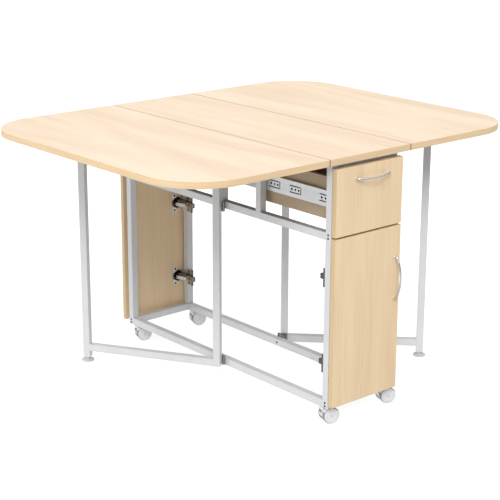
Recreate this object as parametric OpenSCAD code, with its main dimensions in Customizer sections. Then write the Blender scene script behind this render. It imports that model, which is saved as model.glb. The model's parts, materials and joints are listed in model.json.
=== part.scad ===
// Gate-leg sewing table on casters.
// A steel tube frame carries a fixed centre panel. Two drop leaves are hinged
// to it, and each rests on a gate that swings out from the middle of the frame.
// A drawer and a door close each end of the frame.
// +X runs along the frame, +Y across the leaves, +Z up; the floor is z = 0.

/* [Top] */
// Height of the top surface above the floor
top_h = 750; // [740:1:770]
// Length of the centre panel and both leaves, along X
top_l = 948; // [940:1:980]
// Width of the fixed centre panel, across Y
centre_w = 296.6; // [294:0.2:304]
// Width of each drop leaf, across Y
leaf_w = 460.5; // [440:0.5:480]
// Thickness of the boards of the top
top_t = 18; // [16:1:19]
// Radius of the leaves' outer corners
corner_r = 160; // [60:5:200]
// Gap at the seam between a leaf and the centre panel
seam = 2; // [1.4:0.1:2.4]

/* [Frame] */
// Outer length of the tube frame, along X
frame_l = 906.8; // [900:0.2:912]
// Outer width of the tube frame, across Y
frame_w = 242.2; // [240:0.2:244]
// Side of the square tube
tube = 21; // [18:1:22]
// Wall of the square tube
tube_wall = 1.5; // [1:0.1:2]
// Height of the lower rails' underside above the floor
lower_z = 49.6; // [49:0.1:55]
// Height of the mid rails' underside above the floor
mid_z = 523; // [520:1:530]
// Distance of the short drawer posts' centres from the middle
drawer_post_x = 162.5; // [158:0.5:164]

/* [Gates] */
// Distance between the centres of a gate's two posts
gate_len = 412; // [400:0.5:416]
// Opening angle of the front gate as the table stands
gate_front_open = 31.5; // [0:0.5:90]
// Opening angle of the back gate as the table stands
gate_back_open = 44.5; // [0:0.5:90]
// Height of the gate's lower rail above the floor
gate_rail_z = 51; // [48:1:60]
// Height of the gate's outer post above the floor
gate_foot_z = 31.5; // [24:0.5:36]
// Height of the glides' underside above the floor
glide_z = 18; // [2:0.5:20]
// Diameter of the glide under each gate
glide_d = 38; // [30:1:40]

/* [Doors and drawers] */
// Thickness of the doors and drawer fronts
front_t = 15; // [12:1:16]
// Gap between the frame and the doors and drawer fronts
front_gap = 4; // [3:0.5:5]
// Width of the doors and drawer fronts
front_w = 246.8; // [240:0.2:250]
// Height of a door's lower edge above the floor
door_z = 58; // [56:1:66]
// Height of a door
door_h = 473; // [460:1:476]
// Opening angle of the left door as the table stands
door_left_open = 2.5; // [0:0.5:90]
// Height of a drawer front's lower edge above the floor
drawer_front_z = 536; // [533:1:540]
// Height of a drawer front
drawer_front_h = 184; // [170:1:188]
// Height of a drawer box
drawer_box_h = 115; // [100:1:135]
// Thickness of the drawer box boards
drawer_board = 12; // [10:1:12]
// Length of the drawer slides
slide_l = 282; // [260:1:284]
// Height of the drawer slides
slide_h = 45; // [42:1:46]
// Span between the feet of a bow handle
handle_span = 118; // [96:1:136]
// How far a bow handle stands out
handle_out = 26; // [22:1:34]

/* [Casters] */
// Diameter of the caster wheels
wheel_d = 46; // [42:1:48]
// Width over both wheels of one caster
caster_w = 42; // [38:1:44]
// Distance from the swivel axis back to the wheels' axle
caster_trail = 18; // [14:1:19]
// Direction in which the casters trail, from +X towards +Y
caster_heading = 71; // [60:1:80]

/* [Hidden] */
$fn = 64;

board_tint = [0.96, 0.88, 0.76];
edge_tint = [0.90, 0.80, 0.64];
steel_tint = [0.80, 0.81, 0.82];
zinc_tint = [0.70, 0.72, 0.74];
white_tint = [0.94, 0.94, 0.94];

under_z = top_h - top_t;             // underside of the top
seam_y = centre_w / 2 + seam / 2;    // hinge line of each leaf
post_x = frame_l / 2 - tube / 2;     // corner post centres
post_y = frame_w / 2 - tube / 2;
inner_x = frame_l / 2 - tube;        // inner faces of the corner posts
inner_y = frame_w / 2 - tube;
front_x = frame_l / 2 + front_gap;   // inner face of doors and fronts

// ---------------------------------------------------------------- helpers

// square tube along +Z from the origin, centred on it
module tube_z(length) {
    difference() {
        translate([-tube / 2, -tube / 2, 0]) cube([tube, tube, length]);
        translate([-tube / 2 + tube_wall, -tube / 2 + tube_wall, -1])
            cube([tube - 2 * tube_wall, tube - 2 * tube_wall, length + 2]);
    }
}

// square tube along X, centred on the origin
module tube_x(length) {
    translate([-length / 2, 0, 0]) rotate([0, 90, 0]) tube_z(length);
}

// square tube along Y, centred on the origin
module tube_y(length) {
    translate([0, -length / 2, 0]) rotate([-90, 0, 0]) tube_z(length);
}

// the child and its copy turned half a turn about Z
module both_ends() {
    children();
    rotate([0, 0, 180]) children();
}

// the child at +Y and mirrored to -Y
module both_sides() {
    children();
    mirror([0, 1, 0]) children();
}

// the child in all four quadrants
module four_corners() {
    both_sides() {
        children();
        mirror([1, 0, 0]) children();
    }
}

// ---------------------------------------------------------------- top

leaf_hinge_x = [-330, 0, 330];  // centres of the leaf hinges
leaf_hinge_l = 60;              // length of a leaf hinge along the seam
leaf_hinge_y = 30;              // width of each hinge plate
leaf_hinge_t = 1.6;             // thickness of a hinge plate
leaf_knuckle_r = 2.9;
leaf_pin_r = 1.25;
pin_gap = 0.05;                 // radial running clearance of a pin

// recess for a hinge plate and barrel, at the +Y seam
module leaf_hinge_recess(side) {
    for (x = leaf_hinge_x) {
        translate([x - leaf_hinge_l / 2 - 0.5, seam_y, under_z])
            rotate([0, 90, 0])
                cylinder(r = leaf_knuckle_r + 0.5, h = leaf_hinge_l + 1);
        translate([x - leaf_hinge_l / 2 - 0.5,
                   seam_y + (side > 0 ? 0 : -leaf_hinge_y - 0.5),
                   under_z - 1])
            cube([leaf_hinge_l + 1, leaf_hinge_y + 0.5, leaf_hinge_t + 1.05]);
    }
}

module top_centre() {
    color(board_tint) difference() {
        translate([-top_l / 2, -centre_w / 2, under_z])
            cube([top_l, centre_w, top_t]);
        both_sides() leaf_hinge_recess(-1);
    }
}

// the back leaf; the front leaf is its mirror image
module leaf() {
    y0 = centre_w / 2 + seam;
    difference() {
        translate([0, y0, under_z]) linear_extrude(top_t) union() {
            translate([-top_l / 2, 0]) square([top_l, leaf_w - corner_r]);
            translate([-top_l / 2 + corner_r, 0])
                square([top_l - 2 * corner_r, leaf_w]);
            for (sx = [-1, 1])
                translate([sx * (top_l / 2 - corner_r), leaf_w - corner_r])
                    circle(r = corner_r, $fn = 128);
        }
        leaf_hinge_recess(1);
    }
}

module leaf_back() { color(board_tint) leaf(); }
module leaf_front() { color(board_tint) mirror([0, 1, 0]) leaf(); }

// one leaf hinge half: plate, and the knuckles between the given lengths
module leaf_hinge_half(side, knuckles) {
    difference() {
        union() {
            translate([-leaf_hinge_l / 2,
                       seam_y + (side > 0 ? leaf_knuckle_r + 0.4
                                          : -leaf_hinge_y),
                       under_z])
                cube([leaf_hinge_l, leaf_hinge_y - leaf_knuckle_r - 0.4,
                      leaf_hinge_t]);
            for (k = knuckles) {
                translate([k[0], seam_y, under_z]) rotate([0, 90, 0])
                    cylinder(r = leaf_knuckle_r, h = k[1] - k[0]);
                translate([k[0], seam_y + (side > 0 ? 0 : -leaf_hinge_y / 2),
                           under_z])
                    cube([k[1] - k[0], leaf_hinge_y / 2, leaf_hinge_t]);
            }
        }
        translate([-leaf_hinge_l, seam_y, under_z]) rotate([0, 90, 0])
            cylinder(r = leaf_pin_r + pin_gap, h = 2 * leaf_hinge_l);
    }
}

module leaf_hinge_fixed() {
    third = leaf_hinge_l / 6;
    color(zinc_tint) both_sides() for (x = leaf_hinge_x)
        translate([x, 0, 0]) {
            leaf_hinge_half(-1, [[-3 * third, -third - 0.2],
                                 [third + 0.2, 3 * third]]);
            translate([-3 * third, seam_y, under_z]) rotate([0, 90, 0])
                cylinder(r = leaf_pin_r, h = leaf_hinge_l);
        }
}

module leaf_hinges_moving() {
    third = leaf_hinge_l / 6;
    for (x = leaf_hinge_x) translate([x, 0, 0])
        leaf_hinge_half(1, [[-third + 0.2, third - 0.2]]);
}

module leaf_hinge_back() { color(zinc_tint) leaf_hinges_moving(); }
module leaf_hinge_front() {
    color(zinc_tint) mirror([0, 1, 0]) leaf_hinges_moving();
}

// ---------------------------------------------------------------- frame

caster_x = 425;                 // swivel axes of the casters
caster_y = post_y;
socket_hole_r = 6;              // hole in the rail for the caster stem

module corner_posts() {
    color(steel_tint) four_corners()
        translate([post_x, post_y, lower_z]) tube_z(under_z - lower_z);
}

// plastic plugs in the open lower ends of the corner posts
module post_plugs() {
    inside = tube - 2 * tube_wall;
    color(white_tint) four_corners() translate([post_x, post_y, lower_z])
        translate([-inside / 2, -inside / 2, 0]) cube([inside, inside, 12]);
}

module side_rails() {
    color(steel_tint) both_sides() {
        difference() {
            translate([0, post_y, lower_z + tube / 2]) tube_x(2 * inner_x);
            for (sx = [-1, 1])
                translate([sx * caster_x, caster_y, lower_z - 1])
                    cylinder(r = socket_hole_r, h = tube_wall + 2);
        }
        translate([0, post_y, mid_z + tube / 2]) tube_x(2 * inner_x);
    }
}

module end_rails() {
    color(steel_tint) both_ends()
        for (z = [lower_z, mid_z, under_z - tube])
            translate([post_x, 0, z + tube / 2]) tube_y(2 * inner_y);
}

module drawer_posts() {
    z0 = mid_z + tube;
    color(steel_tint) four_corners()
        translate([drawer_post_x, post_y, z0]) tube_z(under_z - z0);
}

module centre_posts() {
    z0 = mid_z + tube;
    color(steel_tint) both_sides()
        translate([0, post_y, z0]) tube_z(under_z - z0);
}

// screw head on a face square to Y
module screw_head_y(x, y, z, out) {
    translate([x, y, z]) rotate([out > 0 ? -90 : 90, 0, 0])
        cylinder(r1 = 2.6, r2 = 1.8, h = 1.1);
}

module frame_screws() {
    pitch = 9.4;  // between the two screws of a joint
    color(zinc_tint) {
        four_corners() for (z = [lower_z, mid_z]) for (s = [-0.5, 0.5])
            screw_head_y(post_x, frame_w / 2, z + tube / 2 + s * pitch, 1);
        // bolts of the gate hinges, on the rails' inner faces
        for (z = [lower_z, mid_z]) {
            screw_head_y(0, inner_y, z + tube / 2, -1);
            screw_head_y(0, -inner_y, z + tube / 2, 1);
        }
    }
}

// ---------------------------------------------------------------- gates

gate_x = 19;                             // pivot of the front gate
gate_y = frame_w / 2 + 4.5;
gate_knuckle_r = 4.2;
gate_pin_r = 2.5;
gate_u = 4.5;                            // pivot to the inner post's side
gate_n = 1.4;                            // pivot to the posts' inner face
gate_hinge_h = 27;
gate_hinge_z = [51.5, 515.5];            // lower edges of the hinges
gate_top_z = under_z - leaf_knuckle_r - 0.6;  // passes under the barrels
pad_gap = 0.3;                           // between a gate's pad and the leaf

// gate parts are drawn closed: u runs along the gate, n away from the frame
module gate_posts() {
    for (k = [[0, gate_rail_z], [gate_len, gate_foot_z]])
        translate([gate_u + tube / 2 + k[0], gate_n + tube / 2, k[1]])
            tube_z(gate_top_z - k[1]);
}

module gate_rails() {
    for (z = [gate_rail_z, gate_top_z - tube])
        translate([gate_u + tube / 2 + gate_len / 2, gate_n + tube / 2,
                   z + tube / 2])
            tube_x(gate_len - tube);
}

glide_stem_r = 4;

// plugs in both ends of both posts; the outer post's top plug is the pad
// that carries the leaf
module gate_plugs() {
    inside = tube - 2 * tube_wall;
    for (k = [[0, gate_rail_z], [gate_len, gate_foot_z]])
        translate([gate_u + tube / 2 + k[0], gate_n + tube / 2, k[1]])
            difference() {
                translate([-inside / 2, -inside / 2, 0])
                    cube([inside, inside, 20]);
                if (k[0] > 0)
                    translate([0, 0, -1])
                        cylinder(r = glide_stem_r + pin_gap, h = 17);
            }
    for (k = [0, gate_len])
        translate([gate_u + tube / 2 + k, gate_n + tube / 2, gate_top_z - 12])
            translate([-inside / 2, -inside / 2, 0])
                cube([inside, inside, 12]);
    translate([gate_u + tube / 2 + gate_len, gate_n + tube / 2, gate_top_z])
        cylinder(r1 = tube / 2, r2 = tube / 2 - 1,
                 h = under_z - gate_top_z - pad_gap);
}

module gate_hinge_moving() {
    third = gate_hinge_h / 3;
    for (z = gate_hinge_z) difference() {
        union() {
            translate([0, 0, z + third + 0.3])
                cylinder(r = gate_knuckle_r, h = third - 0.6);
            translate([0, 0, z + third + 0.3])
                cube([gate_u + tube, gate_n, third - 0.6]);
            translate([gate_u, 0, z]) cube([tube, gate_n, gate_hinge_h]);
        }
        translate([0, 0, z - 1])
            cylinder(r = gate_pin_r + pin_gap, h = gate_hinge_h + 2);
    }
}

module glide() {
    translate([gate_u + tube / 2 + gate_len, gate_n + tube / 2, glide_z])
        rotate_extrude() polygon([
            [0, 0], [glide_d / 2 - 1, 0], [glide_d / 2, 1],
            [glide_d / 2, 3.5], [glide_d / 2 - 2, 5], [9, 6.5],
            [7.5, 8], [7.5, 12], [glide_stem_r, 12],
            [glide_stem_r, gate_foot_z - glide_z + 15],
            [0, gate_foot_z - glide_z + 15],
        ]);
}

// places a closed gate part at the front pivot, opened by an angle
module at_front_gate() {
    translate([gate_x, -gate_y, 0]) rotate([0, 0, 180 + gate_front_open])
        children();
}
module at_back_gate() {
    translate([-gate_x, gate_y, 0]) rotate([0, 0, gate_back_open])
        children();
}

module gate_front_posts() { color(steel_tint) at_front_gate() gate_posts(); }
module gate_front_rails() { color(steel_tint) at_front_gate() gate_rails(); }
module gate_front_plugs() { color(white_tint) at_front_gate() gate_plugs(); }
module gate_front_hinge() {
    color(zinc_tint) at_front_gate() gate_hinge_moving();
}
module glide_front() { color(white_tint) at_front_gate() glide(); }
module gate_back_posts() { color(steel_tint) at_back_gate() gate_posts(); }
module gate_back_rails() { color(steel_tint) at_back_gate() gate_rails(); }
module gate_back_plugs() { color(white_tint) at_back_gate() gate_plugs(); }
module gate_back_hinge() {
    color(zinc_tint) at_back_gate() gate_hinge_moving();
}
module glide_back() { color(white_tint) at_back_gate() glide(); }

// fixed halves of the gate hinges with their pins, on the rails' faces
module gate_hinge_fixed() {
    third = gate_hinge_h / 3;
    plate_t = 1.2;
    color(zinc_tint) both_ends() translate([-gate_x, gate_y, 0])
        for (z = gate_hinge_z) {
            difference() {
                union() {
                    for (k = [0, 2])
                        translate([0, 0, z + k * third])
                            cylinder(r = gate_knuckle_r, h = third);
                    translate([0, frame_w / 2 - gate_y, z])
                        cube([gate_u + tube, plate_t, gate_hinge_h]);
                    for (k = [0, 2])
                        translate([-gate_knuckle_r / 2,
                                   frame_w / 2 - gate_y, z + k * third])
                            cube([gate_knuckle_r, 3, third]);
                }
                translate([0, 0, z - 1])
                    cylinder(r = gate_pin_r + pin_gap, h = gate_hinge_h + 2);
                // room for the moving knuckle
                translate([0, 0, z + third])
                    cylinder(r = gate_knuckle_r + 0.25, h = third);
            }
            translate([0, 0, z])
                cylinder(r = gate_pin_r, h = gate_hinge_h);
        }
}

// ---------------------------------------------------------------- drawers

slide_z = 605;                     // lower edge of the slides
slide_x = 166;                     // inner ends of the slides
slide_sheet = 1.2;
slide_depth = 12.4;                // total thickness of a slide
drawer_z = 568;                    // lower edge of a drawer box
drawer_y = inner_y - slide_depth - 0.3;
drawer_back_x = 150;

// C channel along X, web on the +Y side, open towards -Y
module channel(x0, length, y, z0, h, depth, t) {
    translate([x0, y - depth, z0]) difference() {
        cube([length, depth, h]);
        translate([-1, -1, t]) cube([length + 2, depth + 1 - t, h - 2 * t]);
    }
}

// windows punched into the outer member: three groups of slots and holes
module slide_punches() {
    group_x = [184, 268, 385];
    group_l = 46;
    slot = 2.6;
    mid = slide_z + slide_h / 2;
    for (x = group_x) {
        for (s = [-1, 1])
            translate([x, inner_y - 3, mid + s * 9 - slot / 2])
                cube([group_l, 6, slot]);
        translate([x + group_l - slot, inner_y - 3, mid - 9])
            cube([slot, 6, 18]);
        for (h = [9, 23, 36])
            translate([x + h, inner_y + 3, mid]) rotate([90, 0, 0])
                cylinder(r = h == 9 ? 3.4 : 2.9, h = 6);
    }
}

module slide_outer() {
    color(zinc_tint) both_ends() both_sides() difference() {
        channel(slide_x, slide_l, inner_y, slide_z, slide_h, 10,
                slide_sheet);
        slide_punches();
    }
}

// ball-bearing middle member of the right drawer's slides
module slide_middle() {
    inset = slide_sheet + 1.8;
    both_sides()
        channel(slide_x + 2, slide_l - 4, inner_y - slide_sheet - 0.8,
                slide_z + inset, slide_h - 2 * inset, 8, slide_sheet);
}

// the member screwed to the drawer, with its web against the drawer side
module slide_runner() {
    inset = 2 * (slide_sheet + 1.8);
    both_sides() mirror([0, 1, 0])
        channel(slide_x + 4, slide_l - 6, -drawer_y,
                slide_z + inset, slide_h - 2 * inset, 6.5, slide_sheet);
}

module drawer_front() {
    translate([front_x, -front_w / 2, drawer_front_z])
        cube([front_t, front_w, drawer_front_h]);
}

module drawer_sides() {
    both_sides()
        translate([drawer_back_x, drawer_y - drawer_board, drawer_z])
            difference() {
                cube([front_x - drawer_back_x, drawer_board, drawer_box_h]);
                // groove for the bottom
                translate([-1, -1, 8])
                    cube([front_x, 5, 5]);
            }
}

// back board and inner front board, grooved like the sides
module drawer_ends() {
    wide = 2 * (drawer_y - drawer_board);
    groove = 4;
    for (end = [[drawer_back_x, drawer_board - groove],
                [front_x - drawer_board, -1]])
        translate([end[0], -wide / 2, drawer_z]) difference() {
            cube([drawer_board, wide, drawer_box_h]);
            translate([end[1], -1, 8]) cube([groove + 1, wide + 2, 5]);
        }
}

// panel that sits in the grooves all round
module drawer_bottom() {
    let_in = 3.8;
    x0 = drawer_back_x + drawer_board - let_in;
    y1 = drawer_y - drawer_board + let_in;
    translate([x0, -y1, drawer_z + 8.1])
        cube([front_x - drawer_board + let_in - x0, 2 * y1, 4.8]);
}

// bow handle across Y, on two short legs that stand on the plane x = 0
module bow_handle() {
    half = handle_span / 2;
    bar_r = 3;
    leg = 6.5;                       // from the face to the ends of the bow
    rise = handle_out - bar_r - leg;
    bow_r = (half * half + rise * rise) / (2 * rise);
    sweep = asin(half / bow_r);
    translate([leg + rise - bow_r, 0, 0]) rotate([0, 0, -sweep])
        rotate_extrude(angle = 2 * sweep, $fn = 128)
            translate([bow_r, 0]) circle(r = bar_r, $fn = 32);
    for (s = [-1, 1]) translate([0, s * half, 0]) rotate([0, 90, 0])
        cylinder(r = 4, h = leg + 3.2, $fn = 32);
}

drawer_handle_y = 8;
drawer_handle_z = 685;
door_handle_y = 105;
door_handle_z = 383;

module drawer_handle() {
    translate([front_x + front_t, drawer_handle_y, drawer_handle_z])
        bow_handle();
}

module drawer_right_front() { color(board_tint) drawer_front(); }
module drawer_right_sides() { color(board_tint) drawer_sides(); }
module drawer_right_ends() { color(board_tint) drawer_ends(); }
module drawer_right_bottom() { color(edge_tint) drawer_bottom(); }
module drawer_right_handle() { color(zinc_tint) drawer_handle(); }
module drawer_right_runners() { color(zinc_tint) slide_runner(); }
module slide_right_middle() { color(steel_tint) slide_middle(); }
module drawer_left_front() {
    color(board_tint) rotate([0, 0, 180]) drawer_front();
}
module drawer_left_sides() {
    color(board_tint) rotate([0, 0, 180]) drawer_sides();
}
module drawer_left_ends() {
    color(board_tint) rotate([0, 0, 180]) drawer_ends();
}
module drawer_left_bottom() {
    color(edge_tint) rotate([0, 0, 180]) drawer_bottom();
}
module drawer_left_handle() {
    color(zinc_tint) rotate([0, 0, 180]) drawer_handle();
}
module drawer_left_runners() {
    color(zinc_tint) rotate([0, 0, 180]) slide_runner();
}
module slide_left_middle() {
    color(steel_tint) rotate([0, 0, 180]) slide_middle();
}

// ---------------------------------------------------------------- doors

cup_y = -78;                       // cup centres of the right door
cup_z = [165, 409];
cup_r = 17.5;
cup_depth = 11;
cup_wall = 1.2;
flange_t = 1.5;

module door_panel() {
    difference() {
        translate([front_x, -front_w / 2, door_z])
            cube([front_t, front_w, door_h]);
        for (z = cup_z)
            translate([front_x - 1, cup_y, z]) rotate([0, 90, 0])
                cylinder(r = cup_r, h = cup_depth + 1);
    }
}

// hinge cup let into the door, with its flange on the door's inner face
module hinge_cup() {
    rotate([0, 90, 0]) difference() {
        union() {
            translate([0, 0, -flange_t]) cylinder(r = cup_r + 2, h = flange_t);
            cylinder(r = cup_r, h = cup_depth);
            // ears for the two screws, up and down from the cup
            translate([-30, 3, -flange_t]) cube([60, 13, flange_t]);
        }
        translate([0, 0, -flange_t - 1])
            cylinder(r = cup_r - cup_wall - 1.5, h = cup_depth + flange_t
                     + 1 - cup_wall);
    }
    for (s = [-1, 1])
        translate([-flange_t, 9.5, s * 24]) rotate([0, -90, 0])
            cylinder(r1 = 4, r2 = 3, h = 1.4);
}

module door_cups() {
    for (z = cup_z) translate([front_x, cup_y, z]) hinge_cup();
}

module door_handle() {
    translate([front_x + front_t, door_handle_y, door_handle_z])
        rotate([90, 0, 0]) bow_handle();
}

// plates that carry the hinges inboard of the post, on its inner face
bracket_t = 2;
bracket_x = 407;
arm_x = 388;                       // inner end of the arms

module door_hinge_brackets() {
    color(steel_tint) both_ends() for (z = cup_z)
        translate([bracket_x, -inner_y, z - 27])
            cube([frame_l / 2 - bracket_x, bracket_t, 54]);
}

// mounting plate with two wings, and the cranked arm into the cup
module door_hinge_arms() {
    y0 = -inner_y + bracket_t;
    arm_h = 15;
    color(zinc_tint) both_ends() for (z = cup_z) {
        translate([bracket_x + 2, y0, z - 25]) cube([22, 3, 50]);
        translate([0, 0, z - arm_h / 2]) linear_extrude(arm_h)
            polygon([
                [arm_x, y0 + 3], [front_x - 8, y0 + 3],
                [front_x - 4, cup_y - 9], [front_x + 4.5, cup_y - 7],
                [front_x + 4.5, cup_y + 5], [front_x - 9, cup_y + 2],
                [front_x - 18, y0 + 13], [arm_x, y0 + 11],
            ]);
    }
}

module door_right() { color(board_tint) door_panel(); }
module door_right_cups() { color(zinc_tint) door_cups(); }
module door_right_handle() { color(zinc_tint) door_handle(); }

// turns a door drawn at the right end to the left end, opened by an angle
module at_left_door() {
    translate([-front_x, front_w / 2, 0]) rotate([0, 0, 180 - door_left_open])
        translate([-front_x, front_w / 2, 0]) children();
}

module door_left() { color(board_tint) at_left_door() door_panel(); }
module door_left_cups() { color(zinc_tint) at_left_door() door_cups(); }
module door_left_handle() { color(zinc_tint) at_left_door() door_handle(); }

// ---------------------------------------------------------------- casters

stem_r = 5;
stem_top = lower_z + tube - tube_wall - 1;
axle_r = 3;
wheel_t = 11.5;
hood_w = caster_w - 2 * wheel_t - 1.2;   // room between the two wheels

// sockets inside the lower rails that the caster stems turn in
module caster_sockets() {
    inside = tube - 2 * tube_wall;
    color(white_tint) four_corners()
        translate([caster_x, caster_y, lower_z + tube_wall]) difference() {
            translate([-7.3, -inside / 2, 0]) cube([14.6, inside, inside]);
            translate([0, 0, -1])
                cylinder(r = stem_r + pin_gap, h = inside + 2);
        }
}

// puts a caster drawn trailing towards +X below its socket
module at_caster(sx, sy) {
    translate([sx * caster_x, sy * caster_y, 0])
        rotate([0, 0, caster_heading]) children();
}

// swivel body: a hood between the wheels, a neck and a steel stem
module caster_body() {
    hood_r = wheel_d / 2 - 2;
    translate([caster_trail, 0, wheel_d / 2]) rotate([90, 0, 0])
        difference() {
            union() {
                translate([0, 0, -hood_w / 2]) intersection() {
                    cylinder(r = hood_r, h = hood_w);
                    translate([-hood_r, -8, 0])
                        cube([2 * hood_r, 2 * hood_r, hood_w]);
                }
                translate([-caster_trail - 9, -2, -hood_w / 2])
                    cube([caster_trail + 9, 25, hood_w]);
            }
            translate([0, 0, -hood_w])
                cylinder(r = axle_r + pin_gap, h = 2 * hood_w);
        }
    collar_z = wheel_d / 2 + 18;
    translate([0, 0, collar_z])
        cylinder(r = hood_w / 2, h = lower_z - 0.8 - collar_z);
    translate([0, 0, collar_z])
        cylinder(r = stem_r, h = stem_top - collar_z);
}

// twin wheels joined by their axle
module caster_wheels() {
    rim = 2.5;
    translate([caster_trail, 0, wheel_d / 2]) rotate([90, 0, 0]) {
        for (s = [0, 1]) mirror([0, 0, s])
            rotate_extrude() polygon([
                [0, caster_w / 2 - wheel_t], [wheel_d / 2 - 1,
                caster_w / 2 - wheel_t], [wheel_d / 2,
                caster_w / 2 - wheel_t + 1], [wheel_d / 2,
                caster_w / 2 - rim], [wheel_d / 2 - rim, caster_w / 2 - 0.8],
                [8, caster_w / 2], [0, caster_w / 2],
            ]);
        translate([0, 0, -caster_w / 2 + 1])
            cylinder(r = axle_r, h = caster_w - 2);
    }
}

module caster_front_right() { color(white_tint) at_caster(1, -1) caster_body(); }
module caster_front_left() { color(white_tint) at_caster(-1, -1) caster_body(); }
module caster_back_right() { color(white_tint) at_caster(1, 1) caster_body(); }
module caster_back_left() { color(white_tint) at_caster(-1, 1) caster_body(); }
module wheels_front_right() { color(white_tint) at_caster(1, -1) caster_wheels(); }
module wheels_front_left() { color(white_tint) at_caster(-1, -1) caster_wheels(); }
module wheels_back_right() { color(white_tint) at_caster(1, 1) caster_wheels(); }
module wheels_back_left() { color(white_tint) at_caster(-1, 1) caster_wheels(); }

// ---------------------------------------------------------------- nodes

top_centre();
corner_posts();
post_plugs();
side_rails();
end_rails();
drawer_posts();
centre_posts();
frame_screws();
leaf_hinge_fixed();
gate_hinge_fixed();
slide_outer();
door_hinge_brackets();
door_hinge_arms();
caster_sockets();
leaf_front();
leaf_back();
leaf_hinge_front();
leaf_hinge_back();
gate_front_posts();
gate_front_rails();
gate_front_plugs();
gate_front_hinge();
glide_front();
gate_back_posts();
gate_back_rails();
gate_back_plugs();
gate_back_hinge();
glide_back();
drawer_right_front();
drawer_right_sides();
drawer_right_ends();
drawer_right_bottom();
drawer_right_handle();
drawer_right_runners();
slide_right_middle();
drawer_left_front();
drawer_left_sides();
drawer_left_ends();
drawer_left_bottom();
drawer_left_handle();
drawer_left_runners();
slide_left_middle();
door_right();
door_right_cups();
door_right_handle();
door_left();
door_left_cups();
door_left_handle();
caster_front_right();
wheels_front_right();
caster_front_left();
wheels_front_left();
caster_back_right();
wheels_back_right();
caster_back_left();
wheels_back_left();
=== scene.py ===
"""Looks of the gate-leg sewing table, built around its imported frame.

Shapes are made in millimetres in the frame's axes and scaled once, in piece().
"""

import json
import math

import bmesh
import bpy
from mathutils import Matrix, Vector


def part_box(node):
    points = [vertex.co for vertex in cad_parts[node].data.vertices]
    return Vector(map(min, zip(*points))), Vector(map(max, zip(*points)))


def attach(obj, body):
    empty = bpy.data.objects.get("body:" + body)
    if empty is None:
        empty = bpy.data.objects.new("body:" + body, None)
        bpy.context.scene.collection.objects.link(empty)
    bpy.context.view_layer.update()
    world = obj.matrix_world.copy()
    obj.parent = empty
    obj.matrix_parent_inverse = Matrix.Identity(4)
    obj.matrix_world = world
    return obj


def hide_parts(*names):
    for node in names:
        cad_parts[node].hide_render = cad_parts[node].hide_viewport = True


MM = 0.001
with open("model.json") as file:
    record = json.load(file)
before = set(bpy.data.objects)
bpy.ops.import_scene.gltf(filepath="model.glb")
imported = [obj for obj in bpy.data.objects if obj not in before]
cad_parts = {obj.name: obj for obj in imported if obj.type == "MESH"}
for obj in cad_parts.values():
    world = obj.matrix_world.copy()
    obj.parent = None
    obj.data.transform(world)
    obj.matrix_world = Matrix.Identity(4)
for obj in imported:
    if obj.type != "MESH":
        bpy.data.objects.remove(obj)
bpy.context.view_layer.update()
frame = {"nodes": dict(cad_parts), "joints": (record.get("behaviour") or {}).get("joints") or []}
JOINTS = {joint["name"]: joint for joint in frame["joints"]}
HALF_TURN = Matrix.Rotation(math.pi, 4, "Z")


def box(node):
    """Lowest and highest corner of a CAD node in millimetres."""
    low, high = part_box(node)
    return low / MM, high / MM


def joint_place(name):
    return Vector(JOINTS[name]["pos_m"]) / MM


# ------------------------------------------------------------ frame's sizes

POST_LOW, POST_HIGH = box("corner_posts")
TUBE = box("centre_posts")[1].x - box("centre_posts")[0].x
WALL, TUBE_ROUND = 1.5, 1.3
UNDER_Z = POST_HIGH.z
LOWER_Z = POST_LOW.z
MID_Z = box("centre_posts")[0].z - TUBE
POST_X, POST_Y = POST_HIGH.x - TUBE / 2, POST_HIGH.y - TUBE / 2
INNER_X, INNER_Y = POST_HIGH.x - TUBE, POST_HIGH.y - TUBE
DRAWER_POST_X = box("drawer_posts")[1].x - TUBE / 2
TOP_LOW, TOP_HIGH = box("top_centre")
SEAM_Y = -joint_place("leaf_front_lift").y


# ------------------------------------------------------------------ shapes


class Shape:
    """Points in millimetres, faces, and each face's material index."""

    def __init__(self, points=(), faces=(), paint=None):
        self.points = [Vector(p) for p in points]
        self.faces = [tuple(f) for f in faces]
        self.paint = list(paint) if paint is not None else [0] * len(self.faces)

    def __add__(self, other):
        n = len(self.points)
        return Shape(
            self.points + other.points,
            self.faces + [tuple(i + n for i in f) for f in other.faces],
            self.paint + other.paint,
        )

    def by(self, matrix):
        return Shape([matrix @ p for p in self.points], self.faces, self.paint)

    def at(self, x, y, z):
        return self.by(Matrix.Translation((x, y, z)))

    def turned(self, degrees, axis="Z"):
        return self.by(Matrix.Rotation(math.radians(degrees), 4, axis))

    def mirrored(self, axis):
        return self.by(Matrix.Scale(-1, 4, axis))

    def painted(self, index):
        return Shape(self.points, self.faces, [index] * len(self.faces))


def total(shapes):
    made = Shape()
    for shape in shapes:
        made = made + shape
    return made


def both_sides(shape):
    return shape + shape.mirrored((0, 1, 0))


def both_ends(shape):
    return shape + shape.by(HALF_TURN)


def corners(shape):
    pair = both_sides(shape)
    return pair + pair.mirrored((1, 0, 0))


def facing(place, normal):
    """Puts local +Z along normal, with the origin at place."""
    turn = Vector(normal).to_track_quat("Z", "Y").to_matrix().to_4x4()
    return Matrix.Translation(place) @ turn


def loft(rings, wrap=False, caps=True):
    """Skins rings of equally many points; wrap joins the last to the first."""
    n, count = len(rings[0]), len(rings)
    faces = []
    for k in range(count if wrap else count - 1):
        a, b = k * n, (k + 1) % count * n
        faces += [(a + i, a + (i + 1) % n, b + (i + 1) % n, b + i) for i in range(n)]
    if caps and not wrap:
        faces.append(tuple(reversed(range(n))))
        faces.append(tuple(range((count - 1) * n, count * n)))
    return Shape([p for ring in rings for p in ring], faces)


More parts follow.
